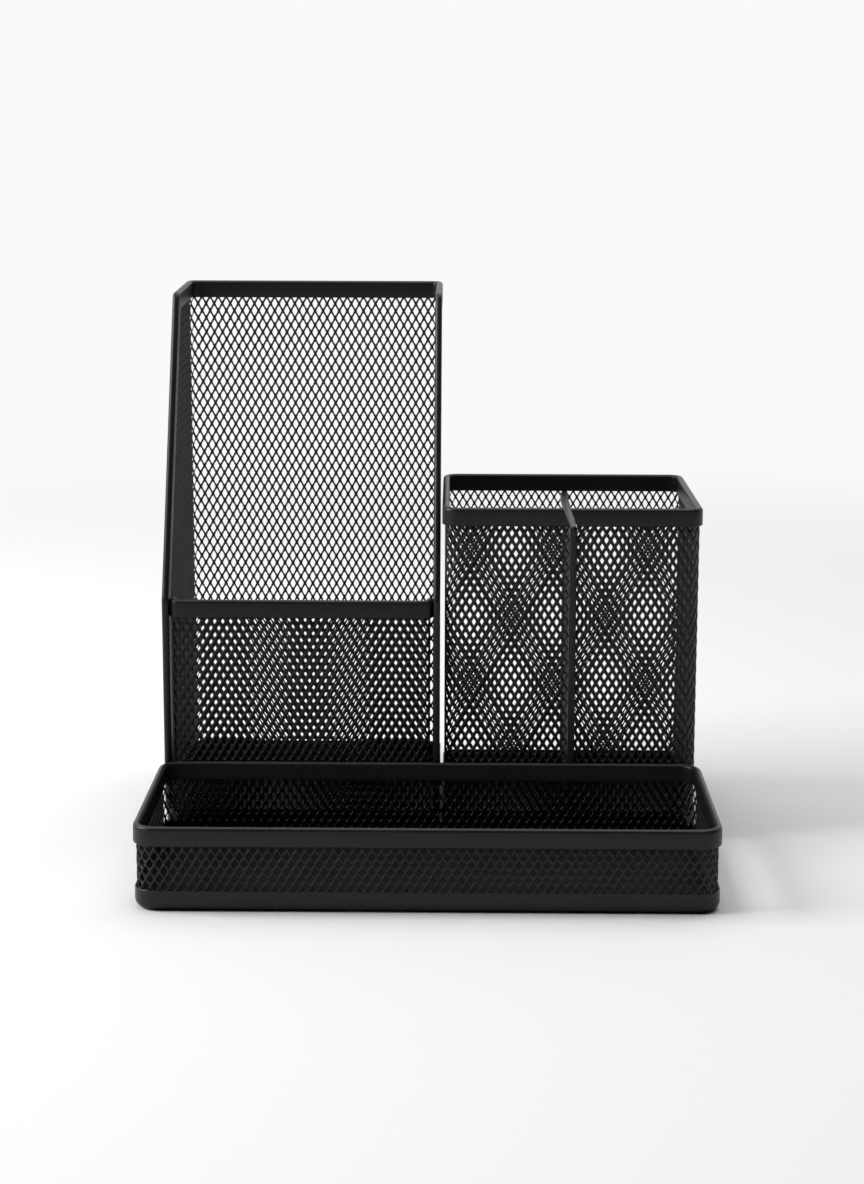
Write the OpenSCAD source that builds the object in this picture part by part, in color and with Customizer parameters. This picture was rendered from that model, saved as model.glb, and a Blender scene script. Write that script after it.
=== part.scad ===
// Desk organizer in powder-coated expanded steel mesh: a low tray across the front,
// a tall letter holder with a front pocket at the back left, and a divided pen cup at the
// back right. The three units are welded together where their rims touch.
// Millimetres, +Z up, +X to the user's right, the user on the -Y side.
// The origin is on the desk, under the middle of the whole footprint.

/* [Tray] */
// Width of the tray, and so of the whole organizer
tray_w = 200; // [180:1:240]
// Depth of the tray from front to back
tray_d = 87.5; // [70:0.5:120]
// Height of the tray
tray_h = 29.6; // [24:0.1:40]
// Outer corner radius of the tray, seen from above
tray_r = 8; // [5:0.5:12]

/* [Pen cup] */
// Width of the pen cup
cup_w = 95.5; // [80:0.5:96]
// Depth of the pen cup
cup_d = 90; // [80:1:100]
// Height of the pen cup
cup_h = 125; // [90:0.1:160]
// Outer corner radius of the pen cup
cup_r = 6; // [5:0.5:10]
// Centre of the divider, measured from the left side of the cup
divider_x = 48.1; // [30:0.1:60]

/* [Letter holder] */
// Depth of the holder from the pocket front to the back wall
holder_d = 103; // [100:1:130]
// Height of the back wall
holder_h = 200.8; // [160:0.1:230]
// Height of the front pocket
pocket_h = 90.4; // [70:0.1:120]
// Outer radius of the two back corners
holder_r = 4.5; // [4.5:0.5:8]
// How far the side walls run forward at full height
shoulder_d = 51; // [25:1:60]
// How much the top of a side wall falls over that run
shoulder_drop = 1.5; // [0.5:0.5:4]

/* [Sheet metal] */
// Height of the folded rims
rim_h = 6.7; // [5:0.1:9]
// Thickness of the folded rims
rim_t = 2.6; // [2.2:0.1:2.8]
// Thickness of the expanded mesh across its raised strands
mesh_t = 1; // [0.8:0.1:1.2]
// Thickness of the pan sheet
pan_t = 0.5; // [0.4:0.1:0.5]
// Height of the band around the tray pan
tray_pan_h = 7.3; // [6:0.1:10]
// Height of the band around the cup and holder pans
unit_pan_h = 11; // [8:0.5:16]
// Bend radius along the lower edge of the pans
pan_r = 3; // [2:0.5:3.5]

/* [Hidden] */

$fn = 48;
y_front = -(tray_d + holder_d) / 2;
y_join = y_front + tray_d;
y_back = y_join + holder_d;
cup_inset = 0.3;
holder_inset = 1.1;
unit_gap = 0.6;
cup_x = tray_w / 2 - cup_inset - cup_w;
holder_x = holder_inset - tray_w / 2;
holder_w = cup_x - unit_gap - holder_x;

slot_depth = rim_h - 1.5;
mesh_inset = (rim_t - mesh_t) / 2;
pan_inset = mesh_inset - pan_t;
hem_w = rim_t;
hem_d = 4;
hem_top = cup_h - rim_h;
hem_left = cup_x + divider_x - hem_w / 2;
slit_lean = 2.7;
return_d = 3;
pocket_r = 3.5;
pocket_x = holder_x + rim_t;
pocket_w = holder_w - 2 * rim_t;
coat = [0.12, 0.12, 0.13];
mesh_tone = [0.25, 0.25, 0.27];

// Side wall outline in (y, z), from the back of the top edge forward and down to the pan
side_edge = [
    [y_back - holder_r, holder_h],
    [y_back - shoulder_d, holder_h - shoulder_drop],
    [y_join, pocket_h],
    [y_join, unit_pan_h]
];

// ---- plane geometry ----
function along(a, b) = (b - a) / norm(b - a);
function inward(a, b) = [-along(a, b)[1], along(a, b)[0]];
function cross2(a, b) = a[0] * b[1] - a[1] * b[0];
// Point where the lines a + s*u and b + t*v meet
function meet(a, u, b, v) = a + u * cross2(b - a, v) / cross2(u, v);

// The same edge moved towards the wall by distance d, with its first and last points kept
// on the lines that end the wall
function inset_edge(p, d) = [
    meet(p[0] + d * inward(p[0], p[1]), along(p[0], p[1]), p[0], [0, 1]),
    meet(p[0] + d * inward(p[0], p[1]), along(p[0], p[1]),
         p[1] + d * inward(p[1], p[2]), along(p[1], p[2])),
    meet(p[1] + d * inward(p[1], p[2]), along(p[1], p[2]),
         p[2] + d * inward(p[2], p[3]), along(p[2], p[3])),
    p[3] + d * inward(p[2], p[3])
];

// Points of the arc of radius r that rounds the corner at b between a and c
function round_corner(a, b, c, r, steps = 6) =
    let (
        turn = acos(along(a, b) * along(b, c)),
        side = sign(cross2(along(a, b), along(b, c))),
        start = b - along(a, b) * r * tan(turn / 2),
        centre = start + side * r * [-along(a, b)[1], along(a, b)[0]],
        arm = start - centre
    )
    [for (i = [0 : steps])
        let (t = side * turn * i / steps)
        centre + [arm[0] * cos(t) - arm[1] * sin(t), arm[0] * sin(t) + arm[1] * cos(t)]];

// The edge with its shoulder and its kink rounded
function soft_edge(p, shoulder_r, kink_r) = concat(
    [p[0]],
    round_corner(p[0], p[1], p[2], shoulder_r),
    round_corner(p[1], p[2], p[3], kink_r),
    [p[3]]
);

function reversed(p) = [for (i = [len(p) - 1 : -1 : 0]) p[i]];

// ---- sheet profiles: x runs inward from the outer face, y is height ----
module rim_profile(top) {
    difference() {
        union() {
            translate([0, top - rim_h])
                square([rim_t, rim_h - rim_t / 2]);
            translate([rim_t / 2, top - rim_t / 2])
                circle(r = rim_t / 2);
        }
        translate([mesh_inset, top - rim_h - 1])
            square([mesh_t, slot_depth + 1]);
    }
}

module mesh_profile(bottom, top) {
    translate([mesh_inset, bottom])
        square([mesh_t, top - bottom]);
}

module pan_profile(band_h, corner_r) {
    bend = pan_inset + pan_r;
    translate([pan_inset, pan_r])
        square([pan_t, band_h - pan_r]);
    translate([bend, 0])
        square([corner_r - bend, pan_t]);
    intersection() {
        translate([bend, pan_r])
            difference() {
                circle(r = pan_r);
                circle(r = pan_r - pan_t);
            }
        square([bend, pan_r]);
    }
}

// ---- sweeps: the profile stands on the outline of a w by d rectangle at the origin ----
module straight_run(length) {
    rotate([90, 0, 90])
        linear_extrude(length)
            children();
}

module corner_run(r) {
    rotate([0, 0, 180])
        rotate_extrude(angle = 90)
            translate([r, 0])
                mirror([1, 0])
                    children();
}

module front_side(w, r) {
    translate([r, 0, 0])
        straight_run(w - 2 * r)
            children();
    translate([r, r, 0])
        corner_run(r)
            children();
}

module all_round(w, d, r) {
    front_side(w, r)
        children();
    translate([w, 0, 0])
        rotate([0, 0, 90])
            front_side(d, r)
                children();
    translate([w, d, 0])
        rotate([0, 0, 180])
            front_side(w, r)
                children();
    translate([0, d, 0])
        rotate([0, 0, 270])
            front_side(d, r)
                children();
}

// One long side with both of its corners
module one_side(w, r) {
    front_side(w, r)
        children();
    translate([w - r, r, 0])
        rotate([0, 0, 90])
            corner_run(r)
                children();
}

module pan(w, d, r, band_h) {
    all_round(w, d, r)
        pan_profile(band_h, r);
    translate([r, r, 0])
        cube([w - 2 * r, d - 2 * r, pan_t]);
}

// ---- tray ----
module tray_base_pan() {
    color(coat)
        translate([-tray_w / 2, y_front, 0])
            pan(tray_w, tray_d, tray_r, tray_pan_h);
}

module tray_mesh_wall() {
    color(mesh_tone)
        translate([-tray_w / 2, y_front, 0])
            all_round(tray_w, tray_d, tray_r)
                mesh_profile(pan_r + 0.5, tray_h - rim_h + slot_depth);
}

module tray_top_rim() {
    color(coat)
        translate([-tray_w / 2, y_front, 0])
            all_round(tray_w, tray_d, tray_r)
                rim_profile(tray_h);
}

// ---- pen cup ----
module cup_base_pan() {
    color(coat)
        translate([cup_x, y_join, 0])
            pan(cup_w, cup_d, cup_r, unit_pan_h);
}

// The front wall is slit where the divider's folded edge comes through. In the rim above it
// the slit leans a little to the left.
module divider_slit() {
    translate([hem_left, y_join + hem_d, 0])
        rotate([90, 0, 0])
            linear_extrude(hem_d + 1)
                polygon([
                    [0, unit_pan_h],
                    [hem_w, unit_pan_h],
                    [hem_w, hem_top],
                    [hem_w - slit_lean, cup_h + 1],
                    [-slit_lean, cup_h + 1],
                    [0, hem_top]
                ]);
}

module cup_mesh_wall() {
    color(mesh_tone)
        difference() {
            translate([cup_x, y_join, 0])
                all_round(cup_w, cup_d, cup_r)
                    mesh_profile(pan_r + 0.5, hem_top + slot_depth);
            divider_slit();
        }
}

module cup_top_rim() {
    color(coat)
        difference() {
            translate([cup_x, y_join, 0])
                all_round(cup_w, cup_d, cup_r)
                    rim_profile(cup_h);
            divider_slit();
        }
}

module cup_divider_mesh() {
    wall_y = mesh_inset + mesh_t;
    color(mesh_tone)
        translate([hem_left + mesh_inset, y_join, 0]) {
            translate([0, wall_y, pan_t])
                cube([mesh_t, cup_d - 2 * wall_y, unit_pan_h - pan_t]);
            translate([0, 1.5, unit_pan_h])
                cube([mesh_t, cup_d - 1.5 - wall_y, hem_top - 1.5 - unit_pan_h]);
        }
}

// Folded channel over the top edge of the divider and down its front edge
module cup_divider_hem() {
    run = cup_d - mesh_inset - mesh_t;
    color(coat)
        difference() {
            translate([hem_left, y_join, 0]) {
                translate([0, 0, hem_top - hem_d])
                    cube([hem_w, run, hem_d]);
                translate([0, 0, unit_pan_h])
                    cube([hem_w, hem_d, hem_top - unit_pan_h]);
            }
            translate([hem_left + mesh_inset, y_join + 1.5, 0])
                cube([mesh_t, cup_d, hem_top - 1.5]);
        }
}

// ---- letter holder ----
module holder_base_pan() {
    color(coat)
        translate([holder_x, y_join, 0])
            pan(holder_w, holder_d, holder_r, unit_pan_h);
}

module at_holder_back() {
    translate([holder_x + holder_w, y_back, 0])
        rotate([0, 0, 180])
            children();
}

module holder_back_mesh() {
    color(mesh_tone)
        at_holder_back()
            one_side(holder_w, holder_r)
                mesh_profile(pan_r + 0.5, holder_h - 1.5);
}

module holder_back_top_rim() {
    color(coat)
        at_holder_back()
            one_side(holder_w, holder_r)
                rim_profile(holder_h);
}

// Plate of thickness t standing in the (y, z) plane, its left face at x
module upright_plate(x, t) {
    translate([x, 0, 0])
        rotate([90, 0, 90])
            linear_extrude(t)
                children();
}

module side_mesh(x) {
    edge = inset_edge(side_edge, 1.5);
    low = pan_r + 0.5;
    start = y_join + mesh_inset + mesh_t + 2 * pocket_r;
    color(mesh_tone)
        upright_plate(x + mesh_inset, mesh_t) {
            polygon(concat(soft_edge(edge, 2, 2), [[y_back - holder_r, unit_pan_h]]));
            translate([start, low])
                square([y_back - holder_r - start, unit_pan_h - low]);
        }
}

module edge_rim(x) {
    outer = soft_edge(side_edge, 3.5, 6);
    inner = soft_edge(inset_edge(side_edge, rim_h), 1, 2);
    slot = soft_edge(inset_edge(side_edge, 1.5), 2, 2);
    color(coat)
        difference() {
            upright_plate(x, rim_t)
                polygon(concat(outer, reversed(inner)));
            upright_plate(x + mesh_inset, mesh_t)
                polygon(concat(slot, [[y_back, unit_pan_h], [y_back, holder_h - 1.5]]));
        }
}

module holder_left_side_mesh() {
    side_mesh(holder_x);
}

module holder_right_side_mesh() {
    side_mesh(holder_x + holder_w - rim_t);
}

module holder_left_edge_rim() {
    edge_rim(holder_x);
}

module holder_right_edge_rim() {
    edge_rim(holder_x + holder_w - rim_t);
}

// The pocket front turns back at both ends and lies against the edge rims
module pocket_side() {
    one_side(pocket_w, pocket_r)
        children();
    for (end = [0, 1])
        translate([end * pocket_w, pocket_r, 0])
            mirror([end, 0, 0])
                translate([0, return_d, 0])
                    rotate([0, 0, -90])
                        straight_run(return_d)
                            children();
}

module holder_pocket_mesh() {
    color(mesh_tone)
        translate([pocket_x, y_join, 0])
            pocket_side()
                mesh_profile(pan_r + 0.5, pocket_h - rim_h + slot_depth);
}

module holder_pocket_rim() {
    color(coat)
        translate([pocket_x, y_join, 0])
            pocket_side()
                rim_profile(pocket_h);
}

tray_base_pan();
tray_mesh_wall();
tray_top_rim();
cup_base_pan();
cup_mesh_wall();
cup_top_rim();
cup_divider_mesh();
cup_divider_hem();
holder_base_pan();
holder_back_mesh();
holder_left_side_mesh();
holder_right_side_mesh();
holder_back_top_rim();
holder_left_edge_rim();
holder_right_edge_rim();
holder_pocket_mesh();
holder_pocket_rim();
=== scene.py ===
import bmesh
import bpy
from math import ceil, cos, pi, radians, sin
from mathutils import Matrix, Vector


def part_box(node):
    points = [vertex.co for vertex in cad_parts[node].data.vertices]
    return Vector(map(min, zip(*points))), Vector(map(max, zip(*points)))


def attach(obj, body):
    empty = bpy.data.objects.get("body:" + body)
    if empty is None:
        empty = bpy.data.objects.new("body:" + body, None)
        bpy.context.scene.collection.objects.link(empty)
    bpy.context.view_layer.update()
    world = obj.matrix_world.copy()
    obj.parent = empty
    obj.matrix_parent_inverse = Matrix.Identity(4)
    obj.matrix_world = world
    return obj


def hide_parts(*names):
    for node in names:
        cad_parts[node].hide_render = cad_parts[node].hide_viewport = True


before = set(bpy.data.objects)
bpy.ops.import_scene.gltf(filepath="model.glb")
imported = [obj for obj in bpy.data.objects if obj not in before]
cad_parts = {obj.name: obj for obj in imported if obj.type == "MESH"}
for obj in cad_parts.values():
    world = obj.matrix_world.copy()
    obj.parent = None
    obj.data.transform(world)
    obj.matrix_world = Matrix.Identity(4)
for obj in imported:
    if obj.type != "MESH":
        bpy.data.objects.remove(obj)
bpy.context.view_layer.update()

# ---- Tray pan -------------------------------------------------------------------------
# A shallow pan pressed from half-millimetre steel sheet, with a rounded lower edge. Its
# upturned band hugs the outside of the mesh and is spot-welded to it.

mm = 0.001


class Route:
    """The line that a strip follows: straight legs, and turns towards its inner side."""

    def __init__(self, start, heading, inward, legs):
        self.start, self.heading, self.inward = Vector(start), Vector(heading), Vector(inward)
        self.axis = self.heading.cross(self.inward)
        self.legs = legs

    def stations(self):
        place, heading, inward = self.start.copy(), self.heading.copy(), self.inward.copy()
        for kind, size, angle in self.legs:
            yield kind, size, angle, place.copy(), heading.copy(), inward.copy()
            if kind == "run":
                place += heading * size
            else:
                turn = Matrix.Rotation(angle, 3, self.axis)
                hub = place + inward * size
                place = hub + turn @ (place - hub)
                heading, inward = turn @ heading, turn @ inward

    def length(self, depth):
        return sum(size if kind == "run" else (size - depth) * angle for kind, size, angle in self.legs)

    def at(self, distance, depth, reach):
        """The point a distance along the route, with the line measured at one depth."""
        for kind, size, angle, place, heading, inward in self.stations():
            span = size if kind == "run" else (size - depth) * angle
            if distance <= span + 1e-9:
                break
            distance -= span
        if kind == "run":
            return place + heading * distance + inward * reach
        hub = place + inward * size
        turn = Matrix.Rotation(distance / (size - depth), 3, self.axis)
        return hub + turn @ (inward * (reach - size))


def round_route(low, high, corner):
    width, depth = high.x - low.x, high.y - low.y
    legs = []
    for side in (width, depth, width, depth):
        legs += [("run", side - 2 * corner, 0), ("turn", corner, pi / 2)]
    return Route((low.x + corner, low.y, 0), (1, 0, 0), (0, 1, 0), legs)


def deselect_all():
    bpy.ops.object.select_all(action="DESELECT")


def edit(mode="VERT"):
    bpy.ops.object.mode_set(mode="EDIT")
    bpy.ops.mesh.select_mode(type=mode)
    bpy.ops.mesh.select_all(action="SELECT")


def fold_strip(name, profile, route, closed, gap=False):
    """Draws a profile along a route. With gap, its last and first points stay unjoined."""
    deselect_all()
    bpy.ops.mesh.primitive_circle_add(vertices=len(profile), radius=1 * mm)
    strip = bpy.context.object
    strip.name = strip.data.name = name
    for vertex, (depth, height) in zip(strip.data.vertices, profile):
        vertex.co = route.start + depth * route.inward + height * route.axis
    edit()
    if gap:
        bpy.ops.mesh.select_all(action="DESELECT")
        mesh = bmesh.from_edit_mesh(strip.data)
        ends = {0, len(profile) - 1}
        for edge in mesh.edges:
            edge.select = {v.index for v in edge.verts} == ends
        bpy.ops.mesh.select_mode(type="EDGE")
        bpy.ops.mesh.delete(type="EDGE")
        bpy.ops.mesh.select_all(action="SELECT")
    for kind, size, angle, place, heading, inward in route.stations():
        if kind == "run":
            bpy.ops.mesh.extrude_region_move(TRANSFORM_OT_translate={"value": heading * size})
        else:
            bpy.ops.mesh.spin(steps=max(4, ceil(angle * 6)), angle=-angle,
                              center=place + inward * size, axis=route.axis)
    bpy.ops.mesh.select_all(action="SELECT")
    bpy.ops.mesh.remove_doubles(threshold=0.002 * mm)
    if gap or not closed:
        bpy.ops.mesh.select_all(action="DESELECT")
        bpy.ops.mesh.select_non_manifold()
        bpy.ops.mesh.fill_holes(sides=0)
    bpy.ops.mesh.select_all(action="SELECT")
    bpy.ops.mesh.normals_make_consistent(inside=False)
    bpy.ops.object.mode_set(mode="OBJECT")
    bpy.ops.object.shade_smooth_by_angle(angle=radians(35))
    return strip


class Wire:
    """A shader socket that takes part in arithmetic."""

    def __init__(self, paint, socket):
        self.paint, self.socket = paint, socket

    def _math(self, operation, first, second):
        return self.paint.node("ShaderNodeMath", {"operation": operation}, {0: first, 1: second})[0]

    def __add__(self, other):
        return self._math("ADD", self, other)

    def __mul__(self, other):
        return self._math("MULTIPLY", self, other)

    __radd__, __rmul__ = __add__, __mul__


class Paint:
    """One material, with its nodes added one call at a time."""

    def __init__(self, name):
        self.material = bpy.data.materials.new(name)
        self.material.use_nodes = True
        self.tree = self.material.node_tree
        self.shader = self.tree.nodes["Principled BSDF"]

    def put(self, socket, value):
        if isinstance(value, Wire):
            self.tree.links.new(value.socket, socket)
        else:
            socket.default_value = value

    def node(self, kind, settings, sockets):
        made = self.tree.nodes.new(kind)
        for key, value in settings.items():
            setattr(made, key, value)
        for key, value in sockets.items():
            self.put(made.inputs[key], value)
        return [Wire(self, socket) for socket in made.outputs]

    def set(self, **sockets):
        for key, value in sockets.items():
            self.put(self.shader.inputs[key.replace("_", " ")], value)

    def noise(self, where, scale, detail):
        made = self.node("ShaderNodeTexNoise", {}, {"Vector": where, "Scale": scale, "Detail": detail})
        return made[0]

    def blend(self, factor, first, second):
        made = self.node("ShaderNodeMix", {"data_type": "RGBA"}, {0: factor, 6: first, 7: second})
        return made[2]


def powder_coat(name, dark, pale, rough, peel, gloss):
    """Satin black powder coat: orange peel, a fine grain and a little settled dust."""
    paint = Paint(name)
    where = paint.node("ShaderNodeTexCoord", {}, {})[3]
    facing = paint.node("ShaderNodeSeparateXYZ", {}, {
        "Vector": paint.node("ShaderNodeNewGeometry", {}, {})[1]})[2]
    cloud = paint.noise(where, 45, 3)
    grain = paint.noise(where, 5200, 2)
    ripple = paint.noise(where, 900, 2)
    up = paint.node("ShaderNodeClamp", {}, {"Value": facing})[0]
    dust = up * cloud * 0.03
    tint = paint.blend(cloud * 0.7 + grain * 0.3, dark, pale)
    tint = paint.blend(dust, tint, (0.30, 0.30, 0.29, 1))
    relief = paint.node("ShaderNodeBump", {}, {
        "Strength": peel, "Distance": 0.06 * mm, "Height": ripple * 0.7 + grain * 0.3})[0]
    paint.set(Base_Color=tint, Roughness=cloud * 0.10 + grain * 0.08 + dust * 0.6 + rough,
              Normal=relief, Specular_IOR_Level=gloss)
    return paint.material


coat_paint = powder_coat("satin black powder coat on folded sheet",
                         (0.0045, 0.0045, 0.005, 1), (0.010, 0.010, 0.011, 1), 0.30, 0.5, 0.32)


# Painted shade: a darker, nearly unreflective copy of the satin coat, laid on the pan floors that sit
# deep inside the mesh walls.
pan_floor_painted_shade_coat = powder_coat("matt coat with painted shade inside a pan",
                         (0.003, 0.003, 0.0035, 1), (0.007, 0.007, 0.008, 1), 0.60, 0.5, 0.03)


def finish_piece(piece, paint, slot, *nodes):
    piece.data.materials.clear()
    piece.data.materials.append(paint)
    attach(piece, "root")
    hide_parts(*nodes)
    return piece


pan_bend, pan_sheet = 3 * mm, 0.5 * mm


def pan_profile(low, band, sheet, inset):
    """The pan's sheet from the middle of its underside, round the bend, over the lip and back."""
    hub, reach = inset + pan_bend, inset + pan_bend + 0.4 * mm
    turn = [pi / 2 * i / 6 for i in range(7)]
    under = [(hub - pan_bend * sin(a), low + pan_bend - pan_bend * cos(a)) for a in turn]
    small = pan_bend - sheet
    over = [(hub - small * sin(a), low + pan_bend - small * cos(a)) for a in reversed(turn)]
    lip = [(inset, band - sheet * 0.35), (inset + sheet * 0.3, band),
           (inset + sheet * 0.7, band), (inset + sheet, band - sheet * 0.35)]
    return [(reach, low)] + under + lip + over + [(reach, low + sheet)]


def make_pan(node, route):
    low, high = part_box(node)
    inset = low.y - route.start.y
    pan = fold_strip(node + "_pressed", pan_profile(low.z, high.z, pan_sheet, inset), route,
                     closed=True, gap=True)
    finish_piece(pan, coat_paint, "coated_sheet", node)
    pan.data.materials.append(pan_floor_painted_shade_coat)
    # The up-facing floor faces take the darker copy of the coat, which paints the shade that falls
    # inside the pan.
    for face in pan.data.polygons:
        if face.normal.z > 0.9 and face.center.z < low.z + pan_bend:
            face.material_index = 1
    return pan


tray_corner = 8 * mm
tray_low, tray_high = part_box("tray_top_rim")
tray_route = round_route(tray_low, tray_high, tray_corner)
make_pan("tray_base_pan", tray_route)

# ---- Tray mesh ------------------------------------------------------------------------
# Expanded steel: thin sheet slit and stretched into tall diamonds, whose strands stand
# tilted out of the plane. It is bent round the tray in one strip, and both edges are held.

mesh_inset = 1.3 * mm
drawn_opening = 0.6
strand_tilt, strand_ridge = 0.22 * mm, 0.27 * mm


def diamond_cell(width, height):
    """One opening with its share of the strands round it, drawn in the XZ plane."""
    half_w, half_h = width / 2, height / 2
    rim_ring = [(0, 1), (0.5, 0.5), (1, 0), (0.5, -0.5), (0, -1), (-0.5, -0.5), (-1, 0), (-0.5, 0.5)]
    tip, flank, side = drawn_opening * 1.03, drawn_opening * 0.56, drawn_opening
    hole_ring = [(0, tip), (flank, flank), (side, 0), (flank, -flank),
                 (0, -tip), (-flank, -flank), (-side, 0), (-flank, flank)]
    deselect_all()
    bpy.ops.mesh.primitive_circle_add(vertices=8, radius=half_w)
    cell = bpy.context.object
    for vertex, (x, z) in zip(cell.data.vertices, hole_ring):
        vertex.co = (x * half_w, strand_tilt * ((z < 0) - (z > 0)), z * half_h)
    for face in (-1, 1):
        edit("EDGE")
        mesh = bmesh.from_edit_mesh(cell.data)
        for edge in mesh.edges:
            edge.select = all(v.index < 8 for v in edge.verts)
        bpy.ops.mesh.extrude_edges_move()
        mesh = bmesh.from_edit_mesh(cell.data)
        fresh = sorted((v for v in mesh.verts if v.select), key=lambda v: v.index)
        for vertex in fresh:
            slot = min(range(8), key=lambda i: abs(hole_ring[i][0] * half_w - vertex.co.x)
                       + abs(hole_ring[i][1] * half_h - vertex.co.z))
            x, z = rim_ring[slot]
            vertex.co = (x * half_w, face * strand_ridge, z * half_h)
        bmesh.update_edit_mesh(cell.data)
        bpy.ops.object.mode_set(mode="OBJECT")
    return cell


def flat_mesh(name, length, bottom, top, pitch, row, opening):
    """A flat sheet of diamonds from 0 to length along X, between two heights.

    How far the openings are stretched may change along the sheet."""
    sheet = diamond_cell(pitch, row)
    sheet.name = sheet.data.name = name
    edit()
    bpy.ops.mesh.duplicate_move(
        TRANSFORM_OT_translate={"value": (pitch / 2, 0, row / 2)})
    bpy.ops.mesh.select_all(action="SELECT")
    bpy.ops.transform.translate(value=(0, 0, bottom))
    bpy.ops.object.mode_set(mode="OBJECT")
    steps = ((pitch, 0, round(length / pitch)), (0, row, ceil((top - bottom) / row) + 1))
    for across, rise, count in steps:
        array = sheet.modifiers.new("repeat", "ARRAY")
        array.use_relative_offset, array.use_constant_offset = False, True
        array.constant_offset_displace = (across, 0, rise)
        array.count = count
        array.use_merge_vertices, array.merge_threshold = False, 0.01 * mm
        bpy.ops.object.modifier_apply(modifier=array.name)
    for vertex in sheet.data.vertices:
        if abs(vertex.co.y) < strand_ridge - 0.01 * mm:
            u, v = vertex.co.x / pitch, (vertex.co.z - bottom) / row
            centres = [(round(u), round(v)), (round(u - 0.5) + 0.5, round(v - 0.5) + 0.5)]
            i, j = min(centres, key=lambda c: abs(u - c[0]) + abs(v - c[1]))
            stretch = opening(i * pitch) / drawn_opening
            vertex.co.x = (i + (u - i) * stretch) * pitch
            vertex.co.z = bottom + (j + (v - j) * stretch) * row
    edit()
    bpy.ops.mesh.remove_doubles(threshold=0.01 * mm)
    bpy.ops.object.mode_set(mode="OBJECT")
    return sheet


def trim(sheet, point, outward):
    """Shears off what lies beyond a plane and closes the cut strands."""
    edit()
    bpy.ops.mesh.bisect(plane_co=point, plane_no=outward, use_fill=True, clear_outer=True)
    bpy.ops.object.mode_set(mode="OBJECT")


def bend_mesh(sheet, route, closed):
    """Wraps a flat sheet along a route, at the depth of the slot in the rims."""
    length = route.length(mesh_inset)
    for vertex in sheet.data.vertices:
        distance = vertex.co.x % length if closed else min(max(vertex.co.x, 0), length)
        vertex.co = route.at(distance, mesh_inset, mesh_inset + vertex.co.y) + vertex.co.z * route.axis
    edit()
    bpy.ops.mesh.remove_doubles(threshold=0.02 * mm)
    bpy.ops.mesh.normals_make_consistent(inside=False)
    bpy.ops.object.mode_set(mode="OBJECT")
    bpy.ops.object.shade_smooth()


def mesh_wall(node, route, closed, pitch, row, opening):
    bottom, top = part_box(node)[0].z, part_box(node)[1].z
    length = route.length(mesh_inset)
    columns = round(length / pitch)
    sheet = flat_mesh(node + "_expanded", length, bottom, top, length / columns, row, opening)
    trim(sheet, (0, 0, bottom), (0, 0, -1))
    trim(sheet, (0, 0, top), (0, 0, 1))
    if not closed:
        trim(sheet, (0, 0, 0), (-1, 0, 0))
        trim(sheet, (length, 0, 0), (1, 0, 0))
    bend_mesh(sheet, route, closed)
    return finish_piece(sheet, mesh_paint, "coated_mesh", node)


mesh_paint = powder_coat("satin black powder coat on mesh",
                         (0.004, 0.004, 0.0045, 1), (0.009, 0.009, 0.010, 1), 0.28, 0.35, 0.38)
mesh_wall("tray_mesh_wall", tray_route, True, 3.19 * mm, 5.24 * mm, lambda x: 0.66)

# ---- Tray rim -------------------------------------------------------------------------
# A strip of thin steel folded double over the top edge of the mesh, with a round fold on
# top and a leg down each face. It runs round the tray in one piece and is spot-welded.

def fold_profile(top, height, thick, leg):
    """Outline of a folded rim, as (depth, height) pairs from the inner leg round the top."""
    r, nip, slot = thick / 2, leg * 0.3, top - thick * 0.6
    low = top - height
    arc = [(r + r * cos(a), top - r + r * sin(a)) for a in [pi * i / 8 for i in range(9)]]
    outer = [(0, low + nip), (nip, low), (leg - nip, low), (leg, low + nip), (leg, slot)]
    inner = [(thick - leg, slot), (thick - leg, low + nip), (thick - leg + nip, low)]
    return inner + [(thick - nip, low), (thick, low + nip)] + arc + outer


rim_leg = 0.8 * mm
rim_height = tray_high.z - tray_low.z
edge_low, edge_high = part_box("holder_left_edge_rim")
rim_thick = edge_high.x - edge_low.x


def folded_rim(node, route, closed):
    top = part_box(node)[1].z
    rim = fold_strip(node + "_folded", fold_profile(top, rim_height, rim_thick, rim_leg), route, closed)
    return finish_piece(rim, coat_paint, "coated_sheet", node)


folded_rim("tray_top_rim", tray_route, closed=True)

# ---- Cup ------------------------------------------------------------------------------
# The pen cup is made like the tray: a pressed pan, one strip of mesh and a folded rim. Its
# front is left open for the folded edge of the divider, so mesh and rim start beside it.

cup_corner = 6 * mm
cup_low, cup_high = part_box("cup_top_rim")
hem_low, hem_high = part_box("cup_divider_hem")


def front_opened_route(low, high, corner, left, right):
    """Round a box from the right side of a gap in its front to the gap's left side."""
    width, depth = high.x - low.x, high.y - low.y
    legs = [("run", high.x - corner - right, 0), ("turn", corner, pi / 2)]
    for side in (depth, width, depth):
        legs += [("run", side - 2 * corner, 0), ("turn", corner, pi / 2)]
    legs.append(("run", left - low.x - corner, 0))
    return Route((right, low.y, 0), (1, 0, 0), (0, 1, 0), legs)


cup_route = front_opened_route(cup_low, cup_high, cup_corner, hem_low.x, hem_high.x)
make_pan("cup_base_pan", round_route(cup_low, cup_high, cup_corner))
cup_round = cup_route.length(mesh_inset)


def cup_opening(distance):
    """Tight openings across the front, stretched wider towards the back."""
    from_front = min(distance, cup_round - distance) - 45 * mm
    return 0.50 + 0.18 * min(max(from_front / (90 * mm), 0), 1)


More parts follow.
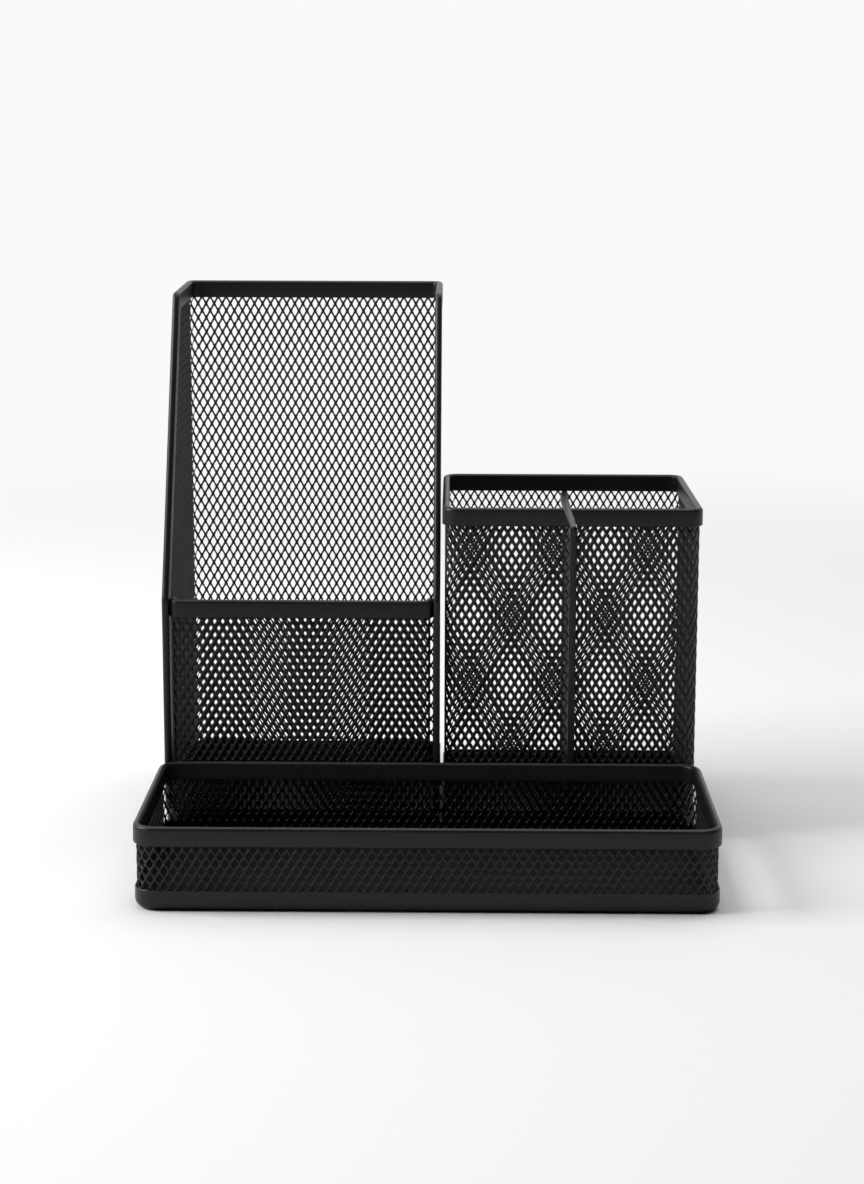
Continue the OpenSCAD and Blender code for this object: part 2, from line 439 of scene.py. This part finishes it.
cup_mesh = mesh_wall("cup_mesh_wall", cup_route, False, 3.05 * mm, 5.1 * mm, cup_opening)
cup_rim = folded_rim("cup_top_rim", cup_route, closed=False)
slit_lean = 2.7 * mm
for piece in (cup_mesh, cup_rim):
    for vertex in piece.data.vertices:
        rise = vertex.co.z - hem_high.z
        beside_slit = hem_low.x - 5 * mm < vertex.co.x < hem_high.x + 5 * mm
        if rise > 0 and beside_slit and vertex.co.y < hem_low.y + 4 * mm:
            vertex.co.x -= slit_lean * rise / rim_height

# ---- Cup divider ----------------------------------------------------------------------
# A flat panel of the same mesh stands across the cup. A narrow folded channel covers its top
# edge, comes out through the front wall and turns down the front to the pan.

divider_low, divider_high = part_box("cup_divider_mesh")
middle = (hem_low.x + hem_high.x) / 2
divider_route = Route((middle + mesh_inset, divider_low.y, 0), (0, 1, 0), (-1, 0, 0),
                      [("run", divider_high.y - divider_low.y, 0)])
mesh_wall("cup_divider_mesh", divider_route, False, 3.05 * mm, 5.1 * mm, lambda x: 0.62)


def bent_edge(corners, radii, depth, steps=6):
    """Stations along a bent edge in the YZ plane, at a depth behind it."""
    ways = [(b - a).normalized() for a, b in zip(corners, corners[1:])]
    sides = [Vector((way.y, -way.x)) for way in ways]
    line = [corners[0] + sides[0] * depth]
    for corner, radius, one, two in zip(corners[1:], radii, sides, sides[1:]):
        bend = max(radius - depth, 0.4 * mm)
        hub = corner + (one + two) * (depth + bend) / (1 + one.dot(two))
        angle = one.angle(two)
        for i in range(steps + 1):
            side = Matrix.Rotation(-angle * i / steps, 2) @ one
            line.append(hub - side * bend)
    last = corners[-1] + sides[-1] * depth
    return line + [last + ways[-1] * (corners[-1].x - last.x) / ways[-1].x]


def folded_channel(node, corners, radii, depth, leg):
    """A folded channel whose closed edge follows a bent line in the YZ plane.

    Its bends are tighter than it is deep, so the inner edges are mitred point by point."""
    low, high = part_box(node)
    thick = high.x - low.x
    profile = fold_profile(depth, depth, thick, leg)
    rings = [bent_edge(corners, radii, depth - rise) for across, rise in profile]
    count, stations = len(profile), len(rings[0])
    points = [(low.x + profile[j][0], rings[j][k].x, rings[j][k].y)
              for k in range(stations) for j in range(count)]
    faces = [(k * count + j, k * count + (j + 1) % count,
              (k + 1) * count + (j + 1) % count, (k + 1) * count + j)
             for k in range(stations - 1) for j in range(count)]
    faces += [tuple(range(count)), tuple(range((stations - 1) * count, stations * count))]
    mesh = bpy.data.meshes.new(node + "_folded")
    mesh.from_pydata(points, [], faces)
    channel = bpy.data.objects.new(node + "_folded", mesh)
    bpy.context.collection.objects.link(channel)
    deselect_all()
    bpy.context.view_layer.objects.active = channel
    channel.select_set(True)
    edit()
    bpy.ops.mesh.normals_make_consistent(inside=False)
    bpy.ops.object.mode_set(mode="OBJECT")
    bpy.ops.object.shade_smooth_by_angle(angle=radians(35))
    return finish_piece(channel, coat_paint, "coated_sheet", node)


hem_bend, hem_depth, hem_leg = 1.6 * mm, 4 * mm, 0.7 * mm
folded_channel(
    "cup_divider_hem",
    [Vector((hem_low.y, hem_low.z)), Vector((hem_low.y, hem_high.z)), Vector((hem_high.y, hem_high.z))],
    [hem_bend], hem_depth, hem_leg)

# ---- Holder ---------------------------------------------------------------------------
# The tall holder stands on its own pan. Its back wall is one panel of mesh that turns round
# both back corners, under a folded rim that turns with it.

holder_corner = 4.5 * mm
back_low, back_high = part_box("holder_back_top_rim")
holder_left, holder_right = back_low.x, back_high.x
holder_front, holder_back = hem_low.y, back_high.y
make_pan("holder_base_pan", round_route(
    Vector((holder_left, holder_front, 0)), Vector((holder_right, holder_back, 0)), holder_corner))
back_route = Route((holder_right, holder_back - holder_corner, 0), (0, 1, 0), (-1, 0, 0), [
    ("turn", holder_corner, pi / 2),
    ("run", holder_right - holder_left - 2 * holder_corner, 0),
    ("turn", holder_corner, pi / 2)])
mesh_wall("holder_back_mesh", back_route, False, 3.2 * mm, 5.7 * mm, lambda x: 0.665)
folded_rim("holder_back_top_rim", back_route, closed=False)

# ---- Holder sides ---------------------------------------------------------------------
# Each side is a flat panel of mesh sheared to a slanting front. A folded channel runs up
# its front edge, along the slant and over the shoulder to the back rim.

shoulder_depth, shoulder_drop = 51 * mm, 1.5 * mm
slot_gap, kink_bend, shoulder_bend = 1.5 * mm, 6 * mm, 3.5 * mm
kink_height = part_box("holder_pocket_rim")[1].z
side_corners = [
    Vector((holder_front, edge_low.z)),
    Vector((holder_front, kink_height)),
    Vector((holder_back - shoulder_depth, back_high.z - shoulder_drop)),
    Vector((holder_back - holder_corner, back_high.z))]


def holder_side(side, outer_x, inward):
    node = "holder_" + side + "_side_mesh"
    low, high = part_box(node)
    start = low.y if inward < 0 else high.y
    route = Route((outer_x, start, 0), (0, -inward, 0), (inward, 0, 0), [("run", high.y - low.y, 0)])
    length = route.length(mesh_inset)
    sheet = flat_mesh(node + "_expanded", length, low.z, high.z, 3.2 * mm, 5.7 * mm, lambda x: 0.62)
    trim(sheet, (0, 0, low.z), (0, 0, -1))
    trim(sheet, (0, 0, 0), (-1, 0, 0))
    trim(sheet, (length, 0, 0), (1, 0, 0))
    bend_mesh(sheet, route, closed=False)
    for a, b in zip(side_corners[1:], side_corners[2:]):
        way = (b - a).normalized()
        outward = Vector((-way.y, way.x))
        edge = a - outward * slot_gap
        trim(sheet, (0, edge.x, edge.y), (0, outward.x, outward.y))
    finish_piece(sheet, mesh_paint, "coated_mesh", node)
    folded_channel("holder_" + side + "_edge_rim", side_corners, [kink_bend, shoulder_bend],
                   rim_height, rim_leg)


holder_side("left", holder_left, 1)
holder_side("right", holder_right, -1)

# ---- Holder pocket --------------------------------------------------------------------
# The low front of the holder is a strip of mesh with its own folded rim. Both ends turn
# back and lie against the side channels, where they are spot-welded.

pocket_corner, pocket_return = 3.5 * mm, 3 * mm
pocket_low, pocket_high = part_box("holder_pocket_rim")
pocket_route = Route((pocket_low.x, pocket_high.y, 0), (0, -1, 0), (1, 0, 0), [
    ("run", pocket_return, 0),
    ("turn", pocket_corner, pi / 2),
    ("run", pocket_high.x - pocket_low.x - 2 * pocket_corner, 0),
    ("turn", pocket_corner, pi / 2),
    ("run", pocket_return, 0)])
mesh_wall("holder_pocket_mesh", pocket_route, False, 3.05 * mm, 5.1 * mm, lambda x: 0.49)
folded_rim("holder_pocket_rim", pocket_route, closed=False)

# ---- Floor, light and camera ----------------------------------------------------------
# A pale table that runs into a white background, a big soft light at the left, and a
# weaker one above.

deselect_all()
bpy.ops.mesh.primitive_plane_add(size=80, location=(0, 0, -0.02 * mm))
floor = bpy.context.object
floor.name = "floor"
white = 0.955
floor_paint = Paint("pale table")
place = floor_paint.node("ShaderNodeTexCoord", {}, {})[3]
distance = floor_paint.node("ShaderNodeVectorMath", {"operation": "LENGTH"}, {0: place})[1]
far = floor_paint.node("ShaderNodeMapRange", {"interpolation_type": "SMOOTHSTEP"}, {
    "Value": distance, "From Min": 0.35, "From Max": 1.1})[0]
floor_paint.set(
    Base_Color=floor_paint.blend(far, (0.80, 0.80, 0.80, 1), (0, 0, 0, 1)), Roughness=0.6,
    Specular_IOR_Level=0.0,
    Emission_Color=floor_paint.blend(far, (0, 0, 0, 1), (white, white, white, 1)),
    Emission_Strength=1.0)
floor.data.materials.append(floor_paint.material)

bpy.ops.mesh.primitive_plane_add(size=16, location=(0, 4, 0), rotation=(pi / 2, 0, 0))
backdrop = bpy.context.object
backdrop.name = "backdrop"
backdrop_paint = Paint("white background")
backdrop_paint.set(Base_Color=(0, 0, 0, 1), Specular_IOR_Level=0.0,
                   Emission_Color=(white, white, white, 1), Emission_Strength=1.0)
backdrop.data.materials.append(backdrop_paint.material)

world = bpy.data.worlds.new("studio")
bpy.context.scene.world = world
world.use_nodes = True
world.node_tree.nodes["Background"].inputs["Color"].default_value = (0.02, 0.02, 0.02, 1)


def soft_light(name, place, aim, size, power):
    bpy.ops.object.light_add(type="AREA", location=place)
    lamp = bpy.context.object
    lamp.name = name
    lamp.data.shape = "RECTANGLE"
    lamp.data.size, lamp.data.size_y = size
    lamp.data.energy = power
    lamp.rotation_euler = (Vector(aim) - Vector(place)).to_track_quat("-Z", "Y").to_euler()
    return lamp


soft_light("key", (-1.3, -0.1, 0.95), (0, 0, 0.05), (0.8, 0.8), 24)
soft_light("top", (0.1, 0.2, 1.5), (0, 0, 0), (1.4, 1.4), 14.5)

bpy.ops.object.camera_add(location=(0.0092, -0.8694, 0.2609))
camera = bpy.context.object
camera.rotation_mode = "XYZ"
look = Matrix.Rotation(radians(0.573), 3, "Z") @ Matrix.Rotation(radians(90 - 10.97), 3, "X")
camera.rotation_euler = (look @ Matrix.Rotation(radians(0.166), 3, "Z")).to_euler()
camera.data.sensor_fit = "VERTICAL"
camera.data.sensor_height = 36
camera.data.lens = 72.8
bpy.context.scene.camera = camera
bpy.context.scene.view_settings.view_transform = "Standard"
